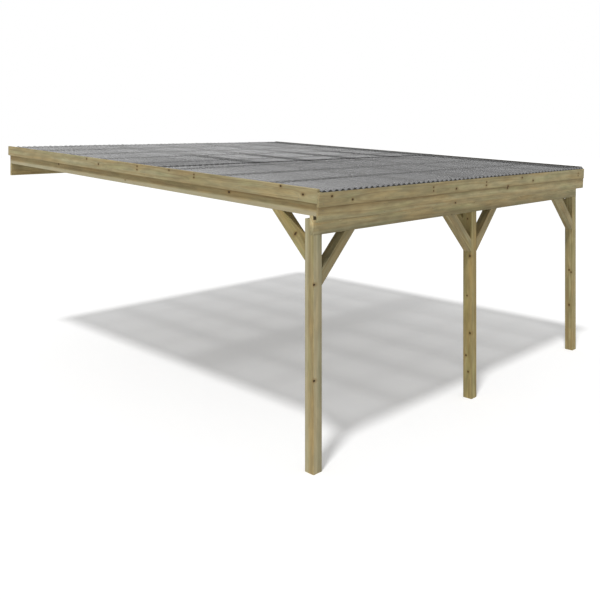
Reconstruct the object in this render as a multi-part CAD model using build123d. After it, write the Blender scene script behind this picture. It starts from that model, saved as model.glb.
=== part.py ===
from build123d import *
import math
import os

os.makedirs("parts", exist_ok=True)

# A lean-to carport of treated pine with a roof of corrugated translucent sheets.
# Three posts carry the eave, and a ledger bolted to a wall carries the high side.
# X runs along the wall, Y points at the wall and Z points up.
# The origin is the centre of the ledger's back face, which lies on the wall.
# Levels are heights above the ground, and every length is in millimetres.

# Overall layout
wall_to_posts = 5512.0          # wall face to the posts' outer face
headroom = 1932.0               # ground to the underside of the eave beam
roof_pitch = 2.55               # degrees, rising towards the wall

# Posts
post_width = 100.0
post_spacing = 2370.0
post_names = ["near", "middle", "far"]
tongue_height = 131.0           # what is left of the post behind the beam
post_edge = 5.0                 # rounded long edges

# Eave beam and wall ledger
beam_thickness = 45.0
beam_depth = 160.0
ledger_thickness = 45.0
ledger_depth = 160.0
timber_edge = 3.0               # rounded long edges of beams, rafters and battens

# Rafters
rafter_count = 7
rafter_thickness = 45.0
rafter_depth = 160.0
rafter_tail = 57.0              # past the posts' outer face
seat_depth = 4.0                # birdsmouth over the beam and over the ledger

# Knee braces
brace_thickness = 90.0
brace_depth = 90.0
brace_reach = 412.0             # from the post's face along the beam
rafter_brace_reach = 388.0      # from the post's face towards the wall

# Battens
batten_count = 9
batten_width = 45.0
batten_height = 40.0

# Fascia boards
fascia_thickness = 28.0
lower_board_thickness = 22.0    # the lower eave board stands back under the upper one
eave_board_depth = 120.0
eave_board_overlength = 2.0     # past the outer face of the verge boards
verge_board_depth = 118.0
verge_upstand = 26.0            # above the underside of the sheets
board_edge = 2.0

# Corrugated sheets
wave_pitch = 76.0
wave_height = 18.0
wave_sides = 8                  # flats in one wave
sheet_skin = 1.2
sheet_waves = 12                # waves in the width of one sheet
side_lap_waves = 1
lower_sheet_length = 2885.0
end_lap = 620.0                 # of the upper row over the lower row
lay_gap = 0.3                   # between pieces that only lie on each other
side_gap = 4.0                  # sheets to the verge boards
wall_gap = 2.0                  # sheets to the wall

# Derived places
slope = math.tan(math.radians(roof_pitch))
upright = 1.0 / math.cos(math.radians(roof_pitch))      # vertical height of a unit square to the roof
frame_length = post_spacing * (len(post_names) - 1) + post_width
half_frame = frame_length / 2
posts_outer_y = -wall_to_posts
posts_inner_y = posts_outer_y + post_width
beam_inner_y = posts_outer_y + beam_thickness
beam_top_level = headroom + beam_depth


def rafter_underside_level(y):
    """Level of the rafters' underside, where the beam's top is seat_depth above it at its outer face"""
    return beam_top_level - seat_depth + (y - posts_outer_y) * slope


ledger_top_level = rafter_underside_level(-ledger_thickness) + seat_depth
origin_level = ledger_top_level - ledger_depth / 2


def height(level):
    """Z of a level above the ground"""
    return level - origin_level


ground_z = height(0.0)
roof_plane = Plane(
    origin=(0, posts_outer_y, height(rafter_underside_level(posts_outer_y))),
    x_dir=(1, 0, 0),
    z_dir=(0, -math.sin(math.radians(roof_pitch)), math.cos(math.radians(roof_pitch))),
)
roof_length = wall_to_posts * upright       # posts' outer face to the wall, along the slope
uncut_length = roof_length + rafter_depth   # a sloping piece before its wall end is cut plumb
sheet_seat = rafter_depth + batten_height   # underside of the sheets, over the rafters' underside


def wall_run(rise):
    """How far up the slope the wall stands for a point at a height square to the rafters' underside"""
    return roof_length + rise * slope


def save(piece, node):
    """Write one piece as its own file"""
    export_step(piece, "parts/" + node + ".step")


def bar_along_y(width, depth, length, edge):
    """A planed bar from Y = 0 to Y = length, its section centred on the Y axis, with rounded long edges"""
    section = Plane.XZ * RectangleRounded(width, depth, edge)
    return extrude(section, amount=-length)


def bar_along_x(width, depth, length, edge):
    """A planed bar centred on the origin, its length along X"""
    section = Plane.YZ * RectangleRounded(width, depth, edge)
    return extrude(section, amount=length / 2, both=True)


def block(low, high):
    """A plain box between two corners, for cutting"""
    size = [high[i] - low[i] for i in range(3)]
    middle = [(high[i] + low[i]) / 2 for i in range(3)]
    return Pos(*middle) * Box(*size)


def behind_wall(x, thickness):
    """The space behind the wall's face, which cuts the high end of a sloping piece plumb"""
    return block((x - thickness, 0, height(0)), (x + thickness, wall_to_posts, height(2 * ledger_top_level)))


def post(x):
    """A square post with its top cut back to a tongue, which leaves a shelf for the eave beam"""
    top_level = headroom + tongue_height
    middle_y = posts_outer_y + post_width / 2
    section = Pos(x, middle_y, ground_z) * RectangleRounded(post_width, post_width, post_edge)
    shaft = extrude(section, amount=top_level)
    notch = block(
        (x - post_width, posts_outer_y - post_width, height(headroom)),
        (x + post_width, beam_inner_y, height(top_level + post_width)),
    )
    return shaft - notch


def eave_beam():
    """The beam along the eave, let into the posts flush with their outer faces"""
    beam = bar_along_x(beam_thickness, beam_depth, frame_length, timber_edge)
    middle_y = posts_outer_y + beam_thickness / 2
    return Pos(0, middle_y, height(headroom + beam_depth / 2)) * beam


def wall_ledger():
    """The beam on the wall that carries the rafters' high ends"""
    ledger = bar_along_x(ledger_thickness, ledger_depth, frame_length, timber_edge)
    return Pos(0, -ledger_thickness / 2, 0) * ledger


def rafter(x):
    """A rafter with a square tail, a plumb end on the wall and two flat seats, over beam and ledger"""
    bar = bar_along_y(rafter_thickness, rafter_depth, rafter_tail + uncut_length, timber_edge)
    bar = roof_plane.location * Pos(x, -rafter_tail, rafter_depth / 2) * bar
    low_z = height(0)
    beam_seat = block(
        (x - rafter_thickness, posts_outer_y, low_z),
        (x + rafter_thickness, beam_inner_y, height(beam_top_level)),
    )
    ledger_seat = block(
        (x - rafter_thickness, -ledger_thickness, low_z),
        (x + rafter_thickness, ledger_thickness, height(ledger_top_level)),
    )
    return bar - behind_wall(x, rafter_thickness) - beam_seat - ledger_seat


def beam_brace(post_x, side):
    """A brace at 45 degrees from a post's side up to the underside of the eave beam"""
    face_x = post_x + side * post_width / 2
    top_z = height(headroom)
    inner_reach = brace_reach - brace_depth * math.sqrt(2)
    outline = Polyline(
        (face_x, top_z - brace_reach),
        (face_x + side * brace_reach, top_z),
        (face_x + side * inner_reach, top_z),
        (face_x, top_z - inner_reach),
        close=True,
    )
    face = Plane.XZ.offset(-posts_outer_y) * make_face(outline)
    return extrude(face, amount=-brace_thickness)


def rafter_brace(x):
    """A brace at 45 degrees from a post's inner face up to the underside of the rafter over it"""
    # A line at 45 degrees from (0, -drop) meets the sloping underside where run - drop = run * slope
    drop = rafter_brace_reach * (1 - slope)
    inner_drop = drop - brace_depth * math.sqrt(2)
    inner_reach = inner_drop / (1 - slope)
    face_z = height(rafter_underside_level(posts_inner_y))
    outline = Polyline(
        (posts_inner_y, face_z - drop),
        (posts_inner_y + rafter_brace_reach, face_z + rafter_brace_reach * slope),
        (posts_inner_y + inner_reach, face_z + inner_reach * slope),
        (posts_inner_y, face_z - inner_drop),
        close=True,
    )
    face = Plane.YZ.offset(x - brace_thickness / 2) * make_face(outline)
    return extrude(face, amount=brace_thickness)


def batten(run):
    """A batten across the rafters, its middle at a distance up the slope from the posts' outer face"""
    bar = bar_along_x(batten_width, batten_height, frame_length, timber_edge)
    return roof_plane.location * Pos(0, run, rafter_depth + batten_height / 2) * bar


def eave_board(board_index, thickness):
    """A fascia board on the rafters' square tails, counted down from the underside of the sheets"""
    length = frame_length + 2 * (fascia_thickness + eave_board_overlength)
    board = bar_along_x(thickness, eave_board_depth, length, board_edge)
    run = -rafter_tail - thickness / 2
    middle = sheet_seat - (board_index + 0.5) * eave_board_depth
    return roof_plane.location * Pos(0, run, middle) * board


def verge_board(side):
    """A fascia board on the outer face of an end rafter, from the eave boards to the wall"""
    x = side * (half_frame + fascia_thickness / 2)
    board = bar_along_y(fascia_thickness, verge_board_depth, rafter_tail + uncut_length, board_edge)
    middle = sheet_seat + verge_upstand - verge_board_depth / 2
    board = roof_plane.location * Pos(x, -rafter_tail, middle) * board
    return board - behind_wall(x, fascia_thickness)


def corrugated_sheet(start_x, end_x, start_run, length, layer):
    """A corrugated sheet from start_x to end_x, raised by its layer's number of skins where sheets lap"""
    crest = (wave_height - sheet_skin) / 2
    step = wave_pitch / wave_sides
    step_count = math.floor((end_x - start_x) / step)
    stations = [start_x + i * step for i in range(step_count + 1)]
    if end_x - stations[-1] > sheet_skin:
        stations.append(end_x)
    lift = sheet_seat + lay_gap + layer * (sheet_skin + lay_gap) + wave_height / 2

    def wave(x):
        """Height of the sheet's middle line, with its first crest a quarter wave in from the edge"""
        return lift + crest * math.sin(2 * math.pi * (x - sheets_start_x) / wave_pitch)

    top = [(x, wave(x) + sheet_skin / 2) for x in stations]
    bottom = [(x, wave(x) - sheet_skin / 2) for x in reversed(stations)]
    section = Plane.XZ * make_face(Polyline(*top, *bottom, close=True))
    sheet = extrude(section, amount=-length)
    return roof_plane.location * Pos(0, start_run, 0) * sheet


# Posts, beam and ledger
for index, name in enumerate(post_names):
    post_x = (index - (len(post_names) - 1) / 2) * post_spacing
    save(post(post_x), "post_" + name)
save(eave_beam(), "eave_beam")
save(wall_ledger(), "wall_ledger")

# Rafters, the end ones flush with the ends of the beam
rafter_step = (frame_length - rafter_thickness) / (rafter_count - 1)
for index in range(rafter_count):
    rafter_x = -half_frame + rafter_thickness / 2 + index * rafter_step
    save(rafter(rafter_x), "rafter_" + str(index + 1))

# Braces: the end posts have one along the beam, the middle post has two, and each has one to its rafter
save(beam_brace(-post_spacing, 1), "brace_near_post")
save(beam_brace(0, -1), "brace_middle_post_left")
save(beam_brace(0, 1), "brace_middle_post_right")
save(beam_brace(post_spacing, -1), "brace_far_post")
end_brace_x = half_frame - brace_thickness / 2
save(rafter_brace(-end_brace_x), "rafter_brace_near")
save(rafter_brace(0), "rafter_brace_middle")
save(rafter_brace(end_brace_x), "rafter_brace_far")

# Battens, from the back of the eave boards to the wall
first_run = -rafter_tail + batten_width / 2
last_run = wall_run(rafter_depth) - batten_width / 2
batten_step = (last_run - first_run) / (batten_count - 1)
for index in range(batten_count):
    save(batten(first_run + index * batten_step), "batten_" + str(index + 1))

# Fascia boards
save(eave_board(0, fascia_thickness), "eave_board_upper")
save(eave_board(1, lower_board_thickness), "eave_board_lower")
save(verge_board(-1), "verge_board_near")
save(verge_board(1), "verge_board_far")

# Sheets: the lower row ends over the eave boards' outer face, each row is laid from the near side,
# and its last sheet is cut to fit
sheets_start_x = -half_frame + side_gap
sheets_end_x = half_frame - side_gap
cover = (sheet_waves - side_lap_waves) * wave_pitch
sheet_width = sheet_waves * wave_pitch
sheet_count = math.ceil((sheets_end_x - sheets_start_x - side_lap_waves * wave_pitch) / cover)
lower_run = -rafter_tail - fascia_thickness
upper_run = lower_run + lower_sheet_length - end_lap
upper_sheet_length = wall_run(sheet_seat) - wall_gap - upper_run
for index in range(sheet_count):
    left = sheets_start_x + index * cover
    right = min(left + sheet_width, sheets_end_x)
    lower = corrugated_sheet(left, right, lower_run, lower_sheet_length, index % 2)
    upper = corrugated_sheet(left, right, upper_run, upper_sheet_length, index % 2 + 2)
    save(lower, "roof_sheet_lower_" + str(index + 1))
    save(upper, "roof_sheet_upper_" + str(index + 1))
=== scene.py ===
import itertools
import math
import bmesh
import bpy
from mathutils import Matrix, Vector


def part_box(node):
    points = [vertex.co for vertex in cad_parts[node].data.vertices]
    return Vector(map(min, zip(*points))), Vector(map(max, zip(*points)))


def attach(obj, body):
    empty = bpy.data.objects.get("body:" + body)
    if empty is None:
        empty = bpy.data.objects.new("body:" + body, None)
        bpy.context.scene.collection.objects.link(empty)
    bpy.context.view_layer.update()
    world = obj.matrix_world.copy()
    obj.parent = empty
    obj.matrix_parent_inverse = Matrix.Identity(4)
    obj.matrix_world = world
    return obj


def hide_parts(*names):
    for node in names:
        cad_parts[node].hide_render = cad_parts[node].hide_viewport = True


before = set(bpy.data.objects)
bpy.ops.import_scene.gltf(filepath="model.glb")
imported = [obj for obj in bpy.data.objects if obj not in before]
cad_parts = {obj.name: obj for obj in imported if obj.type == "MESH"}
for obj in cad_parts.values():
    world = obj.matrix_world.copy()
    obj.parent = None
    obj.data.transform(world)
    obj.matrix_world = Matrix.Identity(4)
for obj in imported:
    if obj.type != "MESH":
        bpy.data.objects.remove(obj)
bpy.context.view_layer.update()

# Lengths are in metres, in the frame of the CAD model: X along the wall, Y towards it, Z up.
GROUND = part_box("post_near")[0][2]
POST_FACE_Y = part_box("post_near")[0][1]
HALF_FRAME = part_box("eave_beam")[1][0]
BEAM_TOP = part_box("eave_beam")[1][2]

# Sizes that the CAD model has
PITCH = math.radians(2.55)
SEAT_DEPTH = 0.004
RAFTER_COUNT = 7
RAFTER_DEPTH = 0.160
RAFTER_TAIL = 0.057
BATTEN_COUNT = 9
BATTEN_HEIGHT = 0.040
BATTEN_WIDTH = 0.045
BOARD_THICKNESS = 0.028
LOWER_BOARD_THICKNESS = 0.022
EAVE_BOARD_DEPTH = 0.120
WAVE_PITCH = 0.076
WAVE_HEIGHT = 0.018
SHEET_SKIN = 0.0012
SHEETS_A_ROW = 6
LOWER_LENGTH = 2.885
END_LAP = 0.620
LAY_GAP = 0.0003
SIDE_GAP = 0.004
WALL_GAP = 0.002

# Places that follow from them. A run is a distance up the slope from the posts' outer face.
SLOPE = math.tan(PITCH)
ALONG = Vector((0, math.cos(PITCH), math.sin(PITCH)))
SQUARE = Vector((0, -math.sin(PITCH), math.cos(PITCH)))
ROOF_ORIGIN = Vector((0, POST_FACE_Y, BEAM_TOP - SEAT_DEPTH))
ROOF_LENGTH = -POST_FACE_Y / math.cos(PITCH)
SHEET_SEAT = RAFTER_DEPTH + BATTEN_HEIGHT
SHEETS_START = -HALF_FRAME + SIDE_GAP
SHEETS_WIDTH = (HALF_FRAME - SIDE_GAP) * 2
SHEET_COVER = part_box("roof_sheet_lower_2")[0][0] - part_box("roof_sheet_lower_1")[0][0]
EAVE_RUN = -RAFTER_TAIL - BOARD_THICKNESS
LAP_RUN = EAVE_RUN + LOWER_LENGTH - END_LAP
UPPER_LENGTH = ROOF_LENGTH + SHEET_SEAT * SLOPE - WALL_GAP - LAP_RUN
FIRST_BATTEN = -RAFTER_TAIL + BATTEN_WIDTH / 2
LAST_BATTEN = ROOF_LENGTH + RAFTER_DEPTH * SLOPE - BATTEN_WIDTH / 2
BATTEN_STEP = (LAST_BATTEN - FIRST_BATTEN) / (BATTEN_COUNT - 1)


def on_roof(x, run, rise):
    """A point by its place along the wall, up the slope, and square to the rafters' underside"""
    return ROOF_ORIGIN + Vector((x, 0, 0)) + run * ALONG + rise * SQUARE


def roof_spot(x, y, rise):
    """The same, by the point's Y in place of its run"""
    return on_roof(x, (y - POST_FACE_Y) / math.cos(PITCH), rise)


def linear(red, green, blue):
    """A colour written in sRGB, 0 to 255, as Blender's linear values"""
    def channel(value):
        value = value / 255
        return value / 12.92 if value <= 0.04045 else ((value + 0.055) / 1.055) ** 2.4
    return (channel(red), channel(green), channel(blue), 1.0)


class Graph:
    """Adds nodes to a tree, one call a node. An input is a number, a colour or another node's output."""

    def __init__(self, tree):
        self.tree = tree

    def node(self, kind, inputs, **settings):
        node = self.tree.nodes.new(kind)
        for name, value in settings.items():
            setattr(node, name, value)
        for name, value in inputs.items():
            if isinstance(value, bpy.types.NodeSocket):
                self.tree.links.new(value, node.inputs[name])
            else:
                node.inputs[name].default_value = value
        return node

    def add(self, kind, inputs, out=0, **settings):
        """One output of a new node"""
        return self.node(kind, inputs, **settings).outputs[out]

    def math(self, operation, a, b=0.0, c=0.0):
        return self.add("ShaderNodeMath", {0: a, 1: b, 2: c}, operation=operation)

    def vector(self, operation, a, b=(0, 0, 0)):
        out = "Value" if operation in ("LENGTH", "DOT_PRODUCT") else "Vector"
        return self.add("ShaderNodeVectorMath", {0: a, 1: b}, out, operation=operation)

    def scaled(self, a, factor):
        return self.vector("MULTIPLY", a, factor)

    def noise(self, place, scale, detail, roughness=0.5, out="Fac"):
        inputs = {"Vector": place, "Scale": scale, "Detail": detail, "Roughness": roughness}
        return self.add("ShaderNodeTexNoise", inputs, out)

    def combine(self, x, y, z):
        return self.add("ShaderNodeCombineXYZ", {0: x, 1: y, 2: z})

    def separate(self, place):
        return self.node("ShaderNodeSeparateXYZ", {0: place}).outputs

    def step(self, value, low, high, at_low=0.0, at_high=1.0):
        """A smooth step from one value to another between low and high"""
        ends = {"From Min": low, "From Max": high, "To Min": at_low, "To Max": at_high}
        return self.add("ShaderNodeMapRange", {"Value": value, **ends}, interpolation_type="SMOOTHSTEP")

    def hump(self, value, spread):
        """0, then 1, then 0 again. spread is (before, full, full, after)."""
        before, full, still_full, after = spread
        return self.math("MULTIPLY", self.step(value, before, full),
                         self.step(value, still_full, after, 1.0, 0.0))

    def mix(self, factor, a, b, blend="MIX"):
        """Of two colours. The sockets are the ones that this node has for colours."""
        inputs = {0: factor, 6: a, 7: b}
        return self.add("ShaderNodeMix", inputs, 2, data_type="RGBA", blend_type=blend)

    def tinted(self, colour, tint):
        return self.mix(1.0, colour, tint, "MULTIPLY")

    def ramp(self, value, stops):
        node = self.node("ShaderNodeValToRGB", {0: value})
        elements = node.color_ramp.elements
        for place, colour in stops[2:]:
            elements.new(place)
        for element, (place, colour) in zip(elements, stops):
            element.position = place
            element.color = colour
        return node.outputs[0]

    def by_place(self, coordinate, stops):
        """A value that runs through stops, which are (place, value)"""
        low, high = stops[0][0], stops[-1][0]
        share = self.math("DIVIDE", self.math("SUBTRACT", coordinate, low), high - low)
        return self.ramp(share, [((place - low) / (high - low), (value, value, value, 1))
                                 for place, value in stops])


def new_material(name):
    """A material with no node yet, and the graph that adds them"""
    material = bpy.data.materials.new(name)
    material.use_nodes = True
    material.node_tree.nodes.clear()
    return material, Graph(material.node_tree)


# Pine. How often its patterns come along the grain, across it and through it, in a metre
KNOT_CELLS = (2.3, 6.0, 1.2)
PITH_BENDS = (0.7, 2.5, 2.5)
PATCHES = (2.0, 13.0, 13.0)
MOTTLE = (5.0, 22.0, 22.0)
BROWN_STREAKS = (1.1, 17.0, 17.0)
FIBRES = (14.0, 900.0, 900.0)
RING_BANDS = (0.45, 75.0)           # along the grain, and across the rings
RING_LINES = (0.9, 260.0)
SEED_SHIFT = (7.3, 3.1, 5.7)

# Its sizes, in metres
PITH_WANDER = (0, 0.034, 0.034)
KNOT_LEAST = 0.004
KNOT_SPREAD = 0.006
KNOT_PUSH = 0.012
GRAIN_RELIEF = 0.0012

# What a pattern gives, each (its value, its value, tone or roughness there, the same there)
LATE_WOOD_TONE = (0.34, 0.56, 0.87, 1.04)
FIBRE_TONE = (0.3, 0.7, 0.94, 1.05)
MOTTLE_TONE = (0.32, 0.68, 0.87, 1.13)
PINE_ROUGHNESS = (0.3, 0.7, 0.66, 0.78)
STREAK_EDGE = (0.50, 0.68)          # the streaks run from none to full between these
PINE_GLOSS = 0.25
GRAIN_STRENGTH = 0.35

# The share of a distance from a knot that counts along the grain, across it and through it
KNOT_SHAPE = (0.75, 1.0, 0.0)
SWIRL_SHAPE = (0.3, 1.0, 0.0)
SET_KNOT_SHAPE = (0.8, 1.0, 0.4)    # for the knots that are set where the photograph has them
SET_SWIRL_SHAPE = (0.3, 1.0, 0.4)
NO_KNOT = 50.0                      # in a knot's radii, where it has no effect any more

# A knot's core and halo, each (radii away, radii away, share of its colour there, share there)
KNOT_CORE = (0.75, 1.3, 1.0, 0.0)
KNOT_HALO = (1.0, 3.2, 1.0, 0.0)
HALO_STRENGTH = 0.55
KNOT_RIM = 1.2                      # where its own colours end
SWIRL_FADE = -0.55                  # how fast the rings' turn round it fades

# Shares of the relief
LINE_HEIGHT = 0.7
FIBRE_HEIGHT = 0.4
KNOT_DIP = 0.25

# The pine's colours
WHITE = (1, 1, 1, 1)
RING_COLOURS = (
    (0.30, linear(156, 140, 101)),
    (0.43, linear(165, 151, 113)),
    (0.55, linear(172, 161, 123)),
    (0.70, linear(179, 170, 134)),
)
PATCH_TINTS = (
    (0.34, (1.05, 0.97, 0.88, 1)),
    (0.50, WHITE),
    (0.66, (0.95, 1.0, 0.96, 1)),
)
KNOT_COLOURS = (
    (0.0, linear(88, 64, 36)),
    (0.5, linear(66, 48, 28)),
    (0.9, linear(42, 32, 22)),
)
HALO_COLOUR = linear(136, 108, 62)
HEARTWOOD = (0.80, 0.66, 0.46, 1)
SAPWOOD = linear(196, 190, 162)
WOOD_INPUTS = {
    "Place": "Vector", "Pith": "Vector", "Seed": "Float", "Knot": "Float", "Swirl": "Float",
    "Knottiness": "Float", "Brown": "Float", "Pale": "Float", "Streaks": "Float", "Tint": "Color",
    "Tone": "Float",
}
WOOD_OUTPUTS = {"Color": "Color", "Height": "Float", "Roughness": "Float"}


def wood_group():
    """Sawn pine as a solid pattern: growth rings round a pith, streaks, blotches and knots"""
    tree = bpy.data.node_groups.new("pine_grain", "ShaderNodeTree")
    for sockets, direction in ((WOOD_INPUTS, "INPUT"), (WOOD_OUTPUTS, "OUTPUT")):
        for name, kind in sockets.items():
            tree.interface.new_socket(name=name, in_out=direction, socket_type="NodeSocket" + kind)
    graph = Graph(tree)
    given = tree.nodes.new("NodeGroupInput").outputs
    place = given["Place"]
    seed = given["Seed"]
    shift = graph.combine(*(graph.math("MULTIPLY", seed, factor) for factor in SEED_SHIFT))

    def shifted(scale):
        return graph.vector("ADD", graph.scaled(place, scale), shift)

    # Knots at places of their own, each a short rod through the thickness
    cells = shifted(KNOT_CELLS)
    spots = graph.node("ShaderNodeTexVoronoi", {"Vector": cells, "Scale": 1.0}).outputs
    offset = graph.vector("SUBTRACT", cells, spots["Position"])
    chances = graph.node("ShaderNodeSeparateColor", {0: spots["Color"]}).outputs
    radius = graph.math("MULTIPLY_ADD", chances[1], KNOT_SPREAD, KNOT_LEAST)
    none = graph.math("GREATER_THAN", chances[0], given["Knottiness"])
    none = graph.math("MULTIPLY", none, NO_KNOT)

    def from_knots(shape, from_set_knots):
        """Distance from the nearest knot, in its radii"""
        factor = [share / cell for share, cell in zip(shape, KNOT_CELLS)]
        gap = graph.vector("LENGTH", graph.scaled(offset, factor))
        gap = graph.math("ADD", graph.math("DIVIDE", gap, radius), none)
        return graph.math("MINIMUM", gap, from_set_knots)

    knot = from_knots(KNOT_SHAPE, given["Knot"])
    swirl = from_knots(SWIRL_SHAPE, given["Swirl"])

    # Rings round a wandering pith, pushed aside by the knots
    wander = graph.noise(shifted(PITH_BENDS), 1.0, 1.0, out="Color")
    wander = graph.scaled(graph.vector("SUBTRACT", wander, (0.5, 0.5, 0.5)), PITH_WANDER)
    bent = graph.vector("ADD", graph.vector("ADD", place, given["Pith"]), wander)
    ring = graph.vector("LENGTH", graph.scaled(bent, (0.0, 1.0, 1.0)))
    push = graph.math("EXPONENT", graph.math("MULTIPLY", swirl, SWIRL_FADE))
    ring = graph.math("ADD", ring, graph.math("MULTIPLY", push, KNOT_PUSH))
    length = graph.separate(place)[0]

    def rings(scale, detail, roughness):
        """A pattern by the place along the grain and across the rings"""
        along = graph.math("MULTIPLY", length, scale[0])
        across = graph.math("MULTIPLY", ring, scale[1])
        return graph.noise(graph.combine(along, across, seed), 1.0, detail, roughness)

    band = rings(RING_BANDS, 4.0, 0.55)
    line = rings(RING_LINES, 2.0, 0.5)
    fibre = graph.noise(graph.scaled(place, FIBRES), 1.0, 1.0)

    # Late wood, fibres, patches and mottle over the rings' colour
    fibre_tone = graph.step(fibre, *FIBRE_TONE)
    colour = graph.ramp(band, RING_COLOURS)
    colour = graph.tinted(colour, graph.step(line, *LATE_WOOD_TONE))
    colour = graph.tinted(colour, fibre_tone)
    colour = graph.tinted(colour, graph.ramp(graph.noise(shifted(PATCHES), 1.0, 3.0), PATCH_TINTS))
    mottle = graph.noise(shifted(MOTTLE), 1.0, 3.0, 0.6)
    colour = graph.tinted(colour, graph.step(mottle, *MOTTLE_TONE))

    # Brown heartwood in streaks and where the piece asks for it, and pale sapwood
    streak = graph.step(graph.noise(shifted(BROWN_STREAKS), 1.0, 2.0, 0.55), *STREAK_EDGE)
    streak = graph.math("MULTIPLY", streak, given["Streaks"])
    brown = graph.mix(graph.math("MAXIMUM", given["Brown"], streak), WHITE, HEARTWOOD)
    colour = graph.tinted(colour, brown)
    colour = graph.mix(given["Pale"], colour, graph.tinted(SAPWOOD, fibre_tone))

    # Knots, each with a brown halo
    halo = graph.math("MULTIPLY", graph.step(knot, *KNOT_HALO), HALO_STRENGTH)
    colour = graph.mix(halo, colour, HALO_COLOUR)
    core = graph.step(knot, *KNOT_CORE)
    colour = graph.mix(core, colour, graph.ramp(graph.math("DIVIDE", knot, KNOT_RIM), KNOT_COLOURS))
    colour = graph.tinted(graph.tinted(colour, given["Tint"]), given["Tone"])

    height = graph.math("ADD", graph.math("MULTIPLY", line, LINE_HEIGHT),
                        graph.math("MULTIPLY", fibre, FIBRE_HEIGHT))
    height = graph.math("SUBTRACT", height, graph.math("MULTIPLY", core, KNOT_DIP))
    roughness = graph.step(band, *PINE_ROUGHNESS)
    graph.node("NodeGroupOutput", {"Color": colour, "Height": height, "Roughness": roughness})
    return tree


PINE = wood_group()
# Painted shadow: how soft its edge is, and how dark it makes the wood
DARK_EDGE = 0.003
DARK_TONE = 0.16


def wood(name, along, across, middle, pith, seed, tone=1.0, tint=WHITE, brown=(), pale=(),
         streaks=0.2, knottiness=0.4, knots=(), dark=(), shade=(), deep_shade=()):
    """A piece's own pine. along is its grain, and across the width of its broad face. brown, pale and
    shade are (place across, value) from edge to edge, and deep_shade the same through the thickness;
    shade and deep_shade scale the tone, as painted light and shade along with the wood's own banding.
    knots are (point, radius), where a knot shows in the photograph. dark is (place across, place
    across, place through, place through), between which a shadow is painted on the wood."""
    material, graph = new_material(name)
    along = Vector(along).normalized()
    through = along.cross(Vector(across)).normalized()
    turn = Matrix((along, through.cross(along), through))
    start = turn @ Vector(middle)
    point = graph.add("ShaderNodeTexCoord", {}, "Object")
    inputs = {"Vector": point, "Location": -start, "Rotation": turn.to_euler()}
    place = graph.add("ShaderNodeMapping", inputs)
    parts = graph.separate(place)
    width = parts[1]
    depth = parts[2]

    # Painted shadow between the given places
    for low, high, deep_low, deep_high in dark:
        inside = graph.hump(width, (low - DARK_EDGE, low, high, high + DARK_EDGE))
        deep = graph.hump(depth, (deep_low - DARK_EDGE, deep_low, deep_high, deep_high + DARK_EDGE))
        shadow = graph.step(graph.math("MULTIPLY", inside, deep), 0.0, 1.0, 1.0, DARK_TONE)
        tone = graph.math("MULTIPLY", shadow, tone)
    # Painted light and shade by place, along with the wood's own banding
    for stops, coordinate in ((shade, width), (deep_shade, depth)):
        if stops:
            tone = graph.math("MULTIPLY", graph.by_place(coordinate, stops), tone)

    distances = [NO_KNOT, NO_KNOT]
    for spot, radius in knots:
        offset = graph.vector("SUBTRACT", place, turn @ Vector(spot) - start)
        for index, shape in enumerate((SET_KNOT_SHAPE, SET_SWIRL_SHAPE)):
            gap = graph.vector("LENGTH", graph.scaled(offset, [share / radius for share in shape]))
            distances[index] = graph.math("MINIMUM", gap, distances[index])

    pine = graph.node("ShaderNodeGroup", {
        "Place": place,
        "Pith": pith,
        "Seed": seed,
        "Knot": distances[0],
        "Swirl": distances[1],
        "Knottiness": knottiness,
        "Brown": graph.by_place(width, brown) if brown else 0.0,
        "Pale": graph.by_place(width, pale) if pale else 0.0,
        "Streaks": streaks,
        "Tint": tint,
        "Tone": tone,
    }, node_tree=PINE).outputs
    relief = {"Height": pine["Height"], "Strength": GRAIN_STRENGTH, "Distance": GRAIN_RELIEF}
    shader = graph.add("ShaderNodeBsdfPrincipled", {
        "Base Color": pine["Color"],
        "Roughness": pine["Roughness"],
        "Specular IOR Level": PINE_GLOSS,
        "Normal": graph.add("ShaderNodeBump", relief),
    })
    graph.node("ShaderNodeOutputMaterial", {"Surface": shader})
    return material


# Knots that show in the photograph, with their radius last
EAVE_KNOTS = (                      # X, level over the ground
    (-2.301, 2.248, 0.009), (-2.041, 2.204, 0.009), (-0.863, 2.239, 0.007), (-0.863, 2.205, 0.007),
    (-0.470, 2.203, 0.009), (0.095, 2.239, 0.007), (0.095, 2.205, 0.007), (0.851, 2.249, 0.009),
    (1.107, 2.204, 0.010), (2.281, 2.235, 0.007), (2.281, 2.205, 0.007), (0.544, 2.170, 0.010),
)
LOWER_EAVE_KNOTS = ((-0.470, 2.063, 0.010), (0.544, 2.150, 0.010))
VERGE_KNOTS = (                     # Y, rise over the rafters' underside
    (-1.999, 0.207, 0.008), (-2.253, 0.167, 0.009), (-3.013, 0.204, 0.007), (-3.013, 0.169, 0.007),
    (-3.571, 0.211, 0.008), (-3.971, 0.203, 0.007), (-3.971, 0.176, 0.007), (-5.149, 0.211, 0.009),
    (-5.411, 0.167, 0.009),
)
NEAR_RAFTER_KNOTS = ((-1.304, 0.092, 0.009), (-4.456, 0.085, 0.010))
NEAR_POST_KNOTS = ((POST_FACE_Y, 1.535, 0.0075), (POST_FACE_Y, 0.759, 0.0075))      # Y, level
MIDDLE_POST_KNOTS = (
    (-5.495, 1.476, 0.010), (-5.460, 1.062, 0.007), (-5.495, 0.679, 0.010), (-5.448, 0.441, 0.008),
    (-5.472, 0.276, 0.008), (-5.466, 1.858, 0.006),
)
FAR_POST_KNOTS = ((-5.468, 1.008, 0.008), (-5.494, 0.983, 0.008), (-5.468, 0.567, 0.009))
NEAR_BRACE_KNOT = ((-HALF_FRAME, -5.306, GROUND + 1.928), 0.007)


def eave_spots(knots):
    face_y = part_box("eave_board_upper")[0][1]
    return [((x, face_y, GROUND + level), radius) for x, level, radius in knots]


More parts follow.
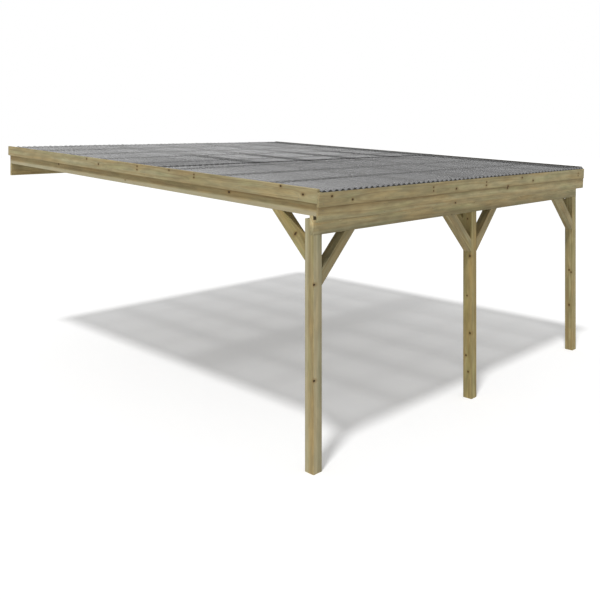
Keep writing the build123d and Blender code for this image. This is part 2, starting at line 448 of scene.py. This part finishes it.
def slope_spots(x, knots):
    return [(roof_spot(x, y, rise), radius) for y, rise, radius in knots]


def post_spots(post, knots):
    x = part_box(post)[0][0]
    return [((x, y, GROUND + level), radius) for y, level, radius in knots]


# Timber
X = (1, 0, 0)
Y = (0, 1, 0)
Z = (0, 0, 1)
RISING_RIGHT = (1, 0, 1)
RISING_LEFT = (-1, 0, 1)
RISING_BACK = (0, 1, 1)
# OLIVE is a painted shade colour: a warmer tint for pieces whose seen faces lie in shade
OLIVE = (1.05, 1.01, 0.84, 1)
DULL = (1.02, 1.01, 0.93, 1)
SEED_STEP = 1.37
seeds = itertools.count(1)


def timber(node, along, across, pith, **looks):
    """Pine for one CAD node, with a seed of its own"""
    low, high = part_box(node)
    middle = (Vector(low) + Vector(high)) / 2
    material = wood("pine_" + node, along, across, middle, pith, next(seeds) * SEED_STEP, **looks)
    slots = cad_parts[node].data.materials
    slots.clear()
    slots.append(material)


timber(
    "post_near", Z, Y, (0, 0.012, 0.030), knottiness=0.2, streaks=0.4,
    knots=post_spots("post_near", NEAR_POST_KNOTS),
    brown=((-0.05, 0.0), (-0.046, 0.45), (-0.010, 0.40), (0.018, 0.05), (0.05, 0.0)),
    pale=((-0.05, 0.25), (-0.048, 0.0), (0.006, 0.05), (0.024, 0.35), (0.05, 0.35)),
    deep_shade=((-0.05, 0.74), (-0.03, 0.73), (-0.008, 0.80), (0.021, 1.12), (0.034, 1.06),
                (0.05, 1.0)),
)
timber(
    "post_middle", Z, Y, (0, 0.020, 0.024), knottiness=0.2, streaks=0.4, tone=0.88, tint=OLIVE,
    knots=post_spots("post_middle", MIDDLE_POST_KNOTS),
    brown=((-0.05, 0.05), (-0.046, 0.20), (0.05, 0.20)),
    shade=((-0.05, 1.02), (-0.04, 1.08), (-0.01, 1.08), (0.02, 0.98), (0.035, 0.92), (0.05, 0.90)),
)
timber(
    "post_far", Z, Y, (0, 0.016, -0.028), knottiness=0.2, streaks=0.4, tone=0.87, tint=DULL,
    knots=post_spots("post_far", FAR_POST_KNOTS),
    brown=((-0.05, 0.0), (-0.046, 0.12), (0.05, 0.12)),
    shade=((-0.05, 1.14), (-0.01, 1.10), (0.02, 1.0), (0.05, 0.98)),
)
# The beam is painted lighter at its top, where the lower eave board shades it, and darker towards the
# bottom; dark paints a shadow on the top of its front face, in the recess under the rafters' tails
timber(
    "eave_beam", X, Z, (0, 0.010, 0.070), knottiness=0.3, dark=((0.046, 0.1, 0.019, 0.1),),
    shade=((-0.08, 0.72), (-0.05, 0.88), (-0.038, 1.00), (-0.019, 1.09), (0.0, 1.34), (0.015, 1.45),
           (0.08, 1.2)),
)
timber("wall_ledger", X, Z, (0, -0.020, 0.060), tint=(1.02, 1.0, 0.93, 1))
# Painted shadow along the joint of the eave boards: the upper board's lower edge and the lower board's
# top edge are darker, and the lower board is lightest in its middle
timber(
    "eave_board_upper", X, Z, (0, 0.015, 0.060), knottiness=0.0, tone=0.96,
    knots=eave_spots(EAVE_KNOTS),
    brown=((-0.06, 0.40), (-0.045, 0.28), (0.0, 0.10), (0.030, 0.0), (0.06, 0.0)),
    shade=((-0.06, 0.78), (-0.054, 0.96), (-0.045, 1.0), (0.06, 1.0)),
)
timber(
    "eave_board_lower", X, Z, (0, -0.030, 0.055), knottiness=0.1,
    knots=eave_spots(LOWER_EAVE_KNOTS),
    brown=((-0.06, 0.10), (0.015, 0.0), (0.050, 0.35), (0.06, 0.45)),
    shade=((-0.06, 0.93), (-0.04, 0.90), (-0.026, 0.95), (-0.01, 1.09), (0.003, 1.12), (0.023, 1.03),
           (0.048, 0.97), (0.054, 0.90), (0.06, 0.66)),
)
timber(
    "verge_board_near", ALONG, SQUARE, (0, 0.010, 0.060), knottiness=0.0, tone=0.92,
    knots=slope_spots(-HALF_FRAME - BOARD_THICKNESS, VERGE_KNOTS),
)
# Painted shade on the far verge board: the top of its inner face and its top edge, above the sheets, are
# darkened
timber(
    "verge_board_far", ALONG, SQUARE, (0, -0.015, 0.060),
    dark=((0.032, 0.1, -0.1, -0.009), (0.052, 0.1, -0.012, 0.1)),
)
for index in range(RAFTER_COUNT):
    looks = {"tone": 0.9}
    if index == 0:
        looks = {
            "tone": 0.95, "knottiness": 0.1, "streaks": 0.6,
            "knots": slope_spots(-HALF_FRAME, NEAR_RAFTER_KNOTS),
            "brown": ((-0.045, 0.0), (-0.020, 0.45), (0.08, 0.45)),
            "pale": ((-0.08, 0.5), (-0.050, 0.5), (-0.035, 0.0), (0.08, 0.0)),
        }
    timber("rafter_" + str(index + 1), ALONG, SQUARE, (0, 0.02 - 0.01 * index, 0.05), **looks)
for index in range(BATTEN_COUNT):
    timber("batten_" + str(index + 1), X, Z, (0, 0.03, 0.03 - 0.006 * index), tone=0.85)
timber("brace_near_post", RISING_RIGHT, Y, (0, 0.02, 0.03), tone=0.77, streaks=0.5)
timber("brace_middle_post_left", RISING_LEFT, Y, (0, -0.02, 0.03), tone=0.9, streaks=0.6)
timber("brace_middle_post_right", RISING_RIGHT, Y, (0, 0.01, -0.03), tone=0.84, streaks=0.6)
timber("brace_far_post", RISING_LEFT, Y, (0, 0.02, -0.02), tone=0.9, streaks=0.6)
for name in ("near", "middle", "far"):
    timber(
        "rafter_brace_" + name, RISING_BACK, X, (0, 0.02, 0.03), tone=0.84, streaks=0.5, tint=OLIVE,
        knots=[NEAR_BRACE_KNOT] if name == "near" else (),
    )


def new_piece(name, bm, materials):
    """A mesh piece of the object, which rides on the one body"""
    bmesh.ops.recalc_face_normals(bm, faces=bm.faces)
    mesh = bpy.data.meshes.new(name)
    bm.to_mesh(mesh)
    bm.free()
    obj = bpy.data.objects.new(name, mesh)
    bpy.context.scene.collection.objects.link(obj)
    for material in materials:
        mesh.materials.append(material)
    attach(obj, "root")
    return obj


def loft(bm, rings):
    """A closed skin through rings of vertices, with a flat face at each end"""
    for ring, following in zip(rings, rings[1:]):
        for step in range(len(ring)):
            after = (step + 1) % len(ring)
            bm.faces.new((ring[step], ring[after], following[after], following[step]))
    bm.faces.new(rings[0][::-1])
    bm.faces.new(rings[-1])


# Shade on the sheets, painted where the photograph has it
FIRST_STRIP = -1.88                         # X. The strips up the slope come once in a sheet's cover.
STRIP_SHADE = (-0.19, -0.08, 0.05, 0.16)    # before, full, full and after, from a strip's middle
STRIP_RISE = (LAP_RUN - 0.25, LAP_RUN - 0.10)
STRIP_FALL = (LAP_RUN + 0.9, LAP_RUN + 1.6)
STRIP_FADE = (-1.9, -1.2, 0.4, 1.0)         # X, X, share there, share there
BATTEN_SHADE = (-0.160, -0.120, -0.050, -0.020)
BATTENS_FROM = (0.20, 0.30)                 # runs
BATTEN_FADE = (-2.2, 0.6, 0.74, 0.42)       # X, X, share there, share there
CORNER_ACROSS = (-1.7, -0.9)                # X
CORNER_UP = (LAP_RUN + 0.7, LAP_RUN + 1.2)
VERGE_SHADE = (1.98, 2.14, 0.0, 0.95)       # X, X, share there, share there
LAP_LIP = (LAP_RUN + 0.05, LAP_RUN + 0.08)
SHADED = (0.004, 0.004, 0.004, 1)


def near_line(graph, coordinate, start, step, spread):
    """1 on evenly spaced lines and 0 away from them"""
    turn = graph.math("DIVIDE", graph.math("SUBTRACT", coordinate, start), step)
    turn = graph.math("FRACT", graph.math("ADD", turn, 0.5))
    return graph.hump(graph.math("MULTIPLY", graph.math("SUBTRACT", turn, 0.5), step), spread)


def roof_shade(graph, point, x, strips, lip):
    """How far the sheets darken, 0 to 1: over the battens, in strips up the slope, along the far
    verge and at the lap. strips is (share at the eave, share at the lap, share towards the wall)."""
    run = graph.vector("DOT_PRODUCT", graph.vector("SUBTRACT", point, ROOF_ORIGIN), ALONG)
    battens = near_line(graph, run, FIRST_BATTEN, BATTEN_STEP, BATTEN_SHADE)
    battens = graph.math("MULTIPLY", battens, graph.step(run, *BATTENS_FROM))
    battens = graph.math("MULTIPLY", battens, graph.step(x, *BATTEN_FADE))
    share = graph.math("MINIMUM", graph.step(run, *STRIP_RISE, strips[0], strips[1]),
                       graph.step(run, *STRIP_FALL, strips[1], strips[2]))
    share = graph.math("MULTIPLY", share, graph.step(x, *STRIP_FADE))
    bars = graph.math("MULTIPLY", near_line(graph, x, FIRST_STRIP, SHEET_COVER, STRIP_SHADE), share)
    corner = graph.math("MULTIPLY", graph.step(x, *CORNER_ACROSS, lip * 0.5, 0.0),
                        graph.step(run, *CORNER_UP, 1.0, 0.0))
    dark = battens
    for part in (bars, corner, graph.step(x, *VERGE_SHADE), graph.step(run, *LAP_LIP, lip, 0.0)):
        dark = graph.math("MAXIMUM", dark, part)
    return dark


PLASTIC_HAZE = (9.0, 1.6, 9.0)              # how often it comes in a metre
PLASTIC_GRAIN = 160.0
PLASTIC_RELIEF = 0.0006
HAZE_SHARES = ((0.92, 0.92, 0.93), (1.07, 1.07, 1.07))


def blotchy(graph, pattern, grey, shares):
    """A grey that runs with a pattern between two shares of its red, green and blue"""
    return graph.ramp(pattern, [(value, (*(grey * share for share in colour), 1))
                                for value, colour in zip((0.35, 0.65), shares)])


def plastic(name, grey, alpha=1.0, roughness=0.22, tones=(), strips=(0.0, 0.0, 0.0), lip=0.0):
    """Smoke-grey plastic. tones is (place along the wall, tone), for a sheet that lies on the roof:
    painted light and shade along the wall.
    """
    material, graph = new_material(name)
    point = graph.add("ShaderNodeTexCoord", {}, "Object")
    haze = graph.noise(graph.scaled(point, PLASTIC_HAZE), 1.0, 3.0)
    base = blotchy(graph, haze, grey, HAZE_SHARES)
    if tones:
        x = graph.separate(point)[0]
        # Painted light and shade along the wall, and the painted shade of roof_shade over it
        base = graph.tinted(base, graph.by_place(x, tones))
        base = graph.mix(roof_shade(graph, point, x, strips, lip), base, SHADED)
    grain = graph.noise(point, PLASTIC_GRAIN, 2.0)
    relief = {"Height": grain, "Strength": 0.06, "Distance": PLASTIC_RELIEF}
    shader = graph.add("ShaderNodeBsdfPrincipled", {
        "Base Color": base,
        "Roughness": roughness,
        "IOR": 1.5,
        "Alpha": alpha,
        "Normal": graph.add("ShaderNodeBump", relief),
    })
    graph.node("ShaderNodeOutputMaterial", {"Surface": shader})
    return material


# Roof sheets: a smooth sine wave, where the CAD sheets have eight flats a wave
SHEET_GREY = 0.24
SHEET_ALPHA = 0.57
EDGE_GREY = 0.18
FILLER_STRIP_GREY = 0.19
FACE, EDGE, FILLER_STRIP = range(3)         # the order of a sheet's materials
# The tones are painted light and shade along the wall, and the strips shares of the painted shade up the
# slope
LOWER_LOOKS = {
    "tones": ((-2.45, 1.40), (-1.9, 1.14), (-1.0, 0.92), (0.0, 0.80), (1.0, 0.80), (2.45, 0.82)),
    "strips": (0.20, 0.65, 0.65),
}
UPPER_LOOKS = {
    "tones": ((-2.45, 1.05), (-1.5, 1.20), (0.0, 1.50), (1.0, 1.35), (1.9, 1.10), (2.45, 0.95)),
    "strips": (0.9, 0.9, 0.3),
    "lip": 0.6,
}
SHEET_EDGE = plastic("smoke_sheet_edge", EDGE_GREY)
OVER_FILLER = plastic("smoke_sheet_over_filler", FILLER_STRIP_GREY)
LOWER_FACE = plastic("smoke_sheet_lower", SHEET_GREY, SHEET_ALPHA, **LOWER_LOOKS)
UPPER_FACE = plastic("smoke_sheet_upper", SHEET_GREY, SHEET_ALPHA, **UPPER_LOOKS)
STEPS_A_WAVE = 20
ROW_LENGTH = 0.35
LIFT_ROWS = 4
LAP_LIFT = 0.008                    # the free edge of the upper row stands off the lower row
LAP_LIFT_REACH = 0.16
FILLER_STRIP_DEPTH = 0.030


def sheet_lift(x, layer):
    """Height of a sheet's middle line, square to the slope"""
    crest = (WAVE_HEIGHT - SHEET_SKIN) / 2
    base = SHEET_SEAT + LAY_GAP + layer * (SHEET_SKIN + LAY_GAP) + WAVE_HEIGHT / 2
    return base + crest * math.sin(2 * math.pi * (x - SHEETS_START) / WAVE_PITCH)


def spring(distance, lift):
    """How far a sheet stands up near its free lower edge"""
    free = max(0.0, 1 - distance / LAP_LIFT_REACH)
    return lift * free * free


def corrugated_sheet(name, start_x, end_x, start_run, length, layer, materials, lift=0.0):
    """One closed shell of corrugated sheet. A third material is for the strip over the eaves filler,
    and lift raises the sheet's lower edge."""
    columns = round((end_x - start_x) / WAVE_PITCH * STEPS_A_WAVE)
    even_rows = math.ceil(length / ROW_LENGTH)
    xs = [start_x + (end_x - start_x) * i / columns for i in range(columns + 1)]
    runs = [start_run + length * j / even_rows for j in range(even_rows + 1)]
    over_filler = len(materials) > FILLER_STRIP
    if over_filler:
        runs[1:1] = [start_run + FILLER_STRIP_DEPTH]
    if lift:
        runs[1:1] = [start_run + LAP_LIFT_REACH * j / LIFT_ROWS for j in range(1, LIFT_ROWS + 1)]
    rows = len(runs) - 1
    bm = bmesh.new()

    def skin(side):
        raised = side * SHEET_SKIN / 2
        springs = [spring(run - start_run, lift) for run in runs]
        return [[bm.verts.new(on_roof(x, run, sheet_lift(x, layer) + raised + sprung)) for x in xs]
                for run, sprung in zip(runs, springs)]

    top = skin(1)
    bottom = skin(-1)
    faces = []
    for j in range(rows):
        look = FILLER_STRIP if over_filler and j == 0 else FACE
        for i in range(columns):
            faces.append((top[j][i], top[j][i + 1], top[j + 1][i + 1], top[j + 1][i], look))
            faces.append((bottom[j][i], bottom[j + 1][i], bottom[j + 1][i + 1], bottom[j][i + 1], look))
    for i in range(columns):
        faces.append((top[0][i + 1], top[0][i], bottom[0][i], bottom[0][i + 1], EDGE))
        faces.append((top[rows][i], top[rows][i + 1], bottom[rows][i + 1], bottom[rows][i], EDGE))
    for j in range(rows):
        faces.append((top[j][0], top[j + 1][0], bottom[j + 1][0], bottom[j][0], EDGE))
        faces.append((top[j + 1][-1], top[j][-1], bottom[j][-1], bottom[j + 1][-1], EDGE))
    for *corners, look in faces:
        face = bm.faces.new(corners)
        face.material_index = look
        face.smooth = look != EDGE
    sheet = new_piece(name.replace("roof_sheet", "corrugated"), bm, materials)
    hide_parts(name)


for index in range(SHEETS_A_ROW):
    lower_name = "roof_sheet_lower_" + str(index + 1)
    upper_name = "roof_sheet_upper_" + str(index + 1)
    low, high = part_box(lower_name)
    layer = index % 2
    corrugated_sheet(lower_name, low[0], high[0], EAVE_RUN, LOWER_LENGTH, layer,
                     (LOWER_FACE, SHEET_EDGE, OVER_FILLER))
    corrugated_sheet(upper_name, low[0], high[0], LAP_RUN, UPPER_LENGTH, layer + 2,
                     (UPPER_FACE, SHEET_EDGE), LAP_LIFT)

# Foam filler under the waves at the eave, near black, which shows as dark teeth below the crests and
# stands in for the shade under them
FILLER_FRONT = EAVE_RUN + 0.003
FILLER_BACK = EAVE_RUN + 0.026


def eaves_filler():
    bm = bmesh.new()
    steps = round(SHEETS_WIDTH / WAVE_PITCH * STEPS_A_WAVE)
    bottom = SHEET_SEAT + LAY_GAP / 2
    rings = []
    for i in range(steps + 1):
        x = SHEETS_START + i * SHEETS_WIDTH / steps
        top = max(sheet_lift(x, 0) - SHEET_SKIN / 2 - LAY_GAP, SHEET_SEAT + 2 * LAY_GAP)
        corners = ((FILLER_FRONT, bottom), (FILLER_FRONT, top),
                   (FILLER_BACK, top), (FILLER_BACK, bottom))
        rings.append([bm.verts.new(on_roof(x, run, rise)) for run, rise in corners])
    loft(bm, rings)
    # Near black: the foam's own colour, and painted shade in the hollows under the crests
    new_piece("eaves_filler", bm, (plastic("filler_foam_and_shade", 0.035, roughness=0.8),))


eaves_filler()

# Roof screws with washers on the crests over the battens, and small sunk screws in the boards
SCREW_STEPS = 12
WASHER = ((0.0000, 0.0095), (0.0010, 0.0095), (0.0016, 0.0060))
HEAD = ((0.0016, 0.0045), (0.0030, 0.0045), (0.0034, 0.0030))
SUNK_HEAD = (
    (-0.0010, 0.0034), (0.0001, 0.0034), (0.0003, 0.0030), (0.0003, 0.0014), (-0.0006, 0.0010),
)
WASHER_BITE = 0.0003
CRESTS_A_SCREW = 3
BOARD_SCREW_SHARES = (0.22, 0.78)   # of an eave board's depth
VERGE_SCREW_PAIRS = 8
VERGE_SCREW_RISES = (0.128, 0.150)
VERGE_SCREWS_START = 0.15           # from the posts' face
VERGE_SCREWS_END = 0.20             # from the wall
ZINC_BLOTCHES = 240.0
ZINC_SHARES = ((0.85, 0.84, 0.80), (1.10, 1.10, 1.08))


def turned(bm, place, out, profile):
    """A round form about the line out through place. profile is (height, radius) from foot to top."""
    side = out.orthogonal().normalized()
    other = out.cross(side)
    rings = []
    for height, radius in profile:
        ring = []
        for step in range(SCREW_STEPS):
            angle = 2 * math.pi * step / SCREW_STEPS
            spoke = (side * math.cos(angle) + other * math.sin(angle)) * radius
            ring.append(bm.verts.new(place + out * height + spoke))
        rings.append(ring)
    loft(bm, rings)


def steel(name, grey, roughness):
    """Zinc-plated steel with faint blotches"""
    material, graph = new_material(name)
    point = graph.add("ShaderNodeTexCoord", {}, "Object")
    base = blotchy(graph, graph.noise(point, ZINC_BLOTCHES, 3.0), grey, ZINC_SHARES)
    inputs = {"Base Color": base, "Metallic": 1.0, "Roughness": roughness}
    graph.node("ShaderNodeOutputMaterial", {"Surface": graph.add("ShaderNodeBsdfPrincipled", inputs)})
    return material


def board_screws():
    """Two screws through each eave board into each rafter, and pairs along the verge boards"""
    bm = bmesh.new()
    for index in range(RAFTER_COUNT):
        low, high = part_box("rafter_" + str(index + 1))
        x = (low[0] + high[0]) / 2
        for board, thickness in enumerate((BOARD_THICKNESS, LOWER_BOARD_THICKNESS)):
            for share in BOARD_SCREW_SHARES:
                rise = SHEET_SEAT - (board + share) * EAVE_BOARD_DEPTH
                turned(bm, on_roof(x, -RAFTER_TAIL - thickness, rise), -ALONG, SUNK_HEAD)
    step = (ROOF_LENGTH - VERGE_SCREWS_START - VERGE_SCREWS_END) / (VERGE_SCREW_PAIRS - 1)
    for side in (-1, 1):
        face = side * (HALF_FRAME + BOARD_THICKNESS)
        for index in range(VERGE_SCREW_PAIRS):
            for rise in VERGE_SCREW_RISES:
                place = on_roof(face, VERGE_SCREWS_START + index * step, rise)
                turned(bm, place, Vector((side, 0, 0)), SUNK_HEAD)
    new_piece("board_screws", bm, (steel("dark_zinc", 0.16, 0.5),))


def roof_screws():
    """A screw on every third crest over each batten"""
    bm = bmesh.new()
    crests = round(SHEETS_WIDTH / WAVE_PITCH)
    for batten in range(BATTEN_COUNT):
        run = FIRST_BATTEN + batten * BATTEN_STEP
        layer = 1 if run < LAP_RUN else 3       # the higher of the two that nest in each row
        for crest in range(1, crests - 1, CRESTS_A_SCREW):
            x = SHEETS_START + (crest + 0.25) * WAVE_PITCH
            foot = on_roof(x, run, sheet_lift(x, layer) + SHEET_SKIN / 2 - WASHER_BITE)
            turned(bm, foot, SQUARE, WASHER)
            turned(bm, foot, SQUARE, HEAD)
    new_piece("roof_screws", bm, (steel("dull_zinc", 0.30, 0.45),))


board_screws()
roof_screws()

# Floor and light
FLOOR_HALF = 60.0
FLOOR_GREY = 0.82
FLOOR_GLOW = 0.25
FLOOR_MIDDLE_Y = -2.7
SKY = 0.42
SUN_TRAVEL = Vector((0.405, 0.19, -0.89))
SUN_ENERGY = 2.05
SUN_ANGLE = math.radians(7)


def seen_directly(graph):
    """1 for what the camera sees, also in gloss and through clear surfaces, and 0 for light on the
    object"""
    paths = graph.node("ShaderNodeLightPath", {}).outputs
    seen = paths["Is Camera Ray"]
    for name in ("Is Glossy Ray", "Is Transmission Ray"):
        seen = graph.math("MAXIMUM", seen, paths[name])
    return seen


def floor():
    bm = bmesh.new()
    bmesh.ops.create_grid(bm, x_segments=1, y_segments=1, size=FLOOR_HALF)
    mesh = bpy.data.meshes.new("floor")
    bm.to_mesh(mesh)
    bm.free()
    obj = bpy.data.objects.new("floor", mesh)
    obj.location = (0, FLOOR_MIDDLE_Y, GROUND)
    bpy.context.scene.collection.objects.link(obj)
    material, graph = new_material("floor_white")
    strength = graph.math("MULTIPLY", seen_directly(graph), FLOOR_GLOW)
    diffuse = graph.add("ShaderNodeBsdfDiffuse", {"Color": (FLOOR_GREY, FLOOR_GREY, FLOOR_GREY, 1)})
    glow = graph.add("ShaderNodeEmission", {"Color": WHITE, "Strength": strength})
    shader = graph.add("ShaderNodeAddShader", {0: diffuse, 1: glow})
    graph.node("ShaderNodeOutputMaterial", {"Surface": shader})
    mesh.materials.append(material)


floor()

world = bpy.data.worlds.new("studio")
world.use_nodes = True
world.node_tree.nodes.clear()
graph = Graph(world.node_tree)
strength = graph.step(seen_directly(graph), 0.0, 1.0, SKY, 1.0)
sky = graph.add("ShaderNodeBackground", {"Color": WHITE, "Strength": strength})
graph.node("ShaderNodeOutputWorld", {"Surface": sky})
bpy.context.scene.world = world

sun = bpy.data.lights.new("sun", "SUN")
sun.energy = SUN_ENERGY
sun.angle = SUN_ANGLE
sun_object = bpy.data.objects.new("sun", sun)
sun_object.rotation_euler = SUN_TRAVEL.to_track_quat("-Z", "Y").to_euler()
bpy.context.scene.collection.objects.link(sun_object)

# Camera, at the photograph's place. It looks level, and its view is shifted down.
CAMERA_PLACE = (-6.8046, -9.6548, GROUND + 2.80)
CAMERA_TURN = math.radians(-45.58)
camera = bpy.data.cameras.new("camera")
camera.sensor_width = 36
camera.lens = 44.91
camera.shift_y = -0.2868
camera.clip_end = 200
camera_object = bpy.data.objects.new("camera", camera)
camera_object.location = CAMERA_PLACE
camera_object.rotation_euler = (math.radians(90), 0, CAMERA_TURN)
bpy.context.scene.collection.objects.link(camera_object)
bpy.context.scene.camera = camera_object
bpy.context.scene.view_settings.view_transform = "Standard"
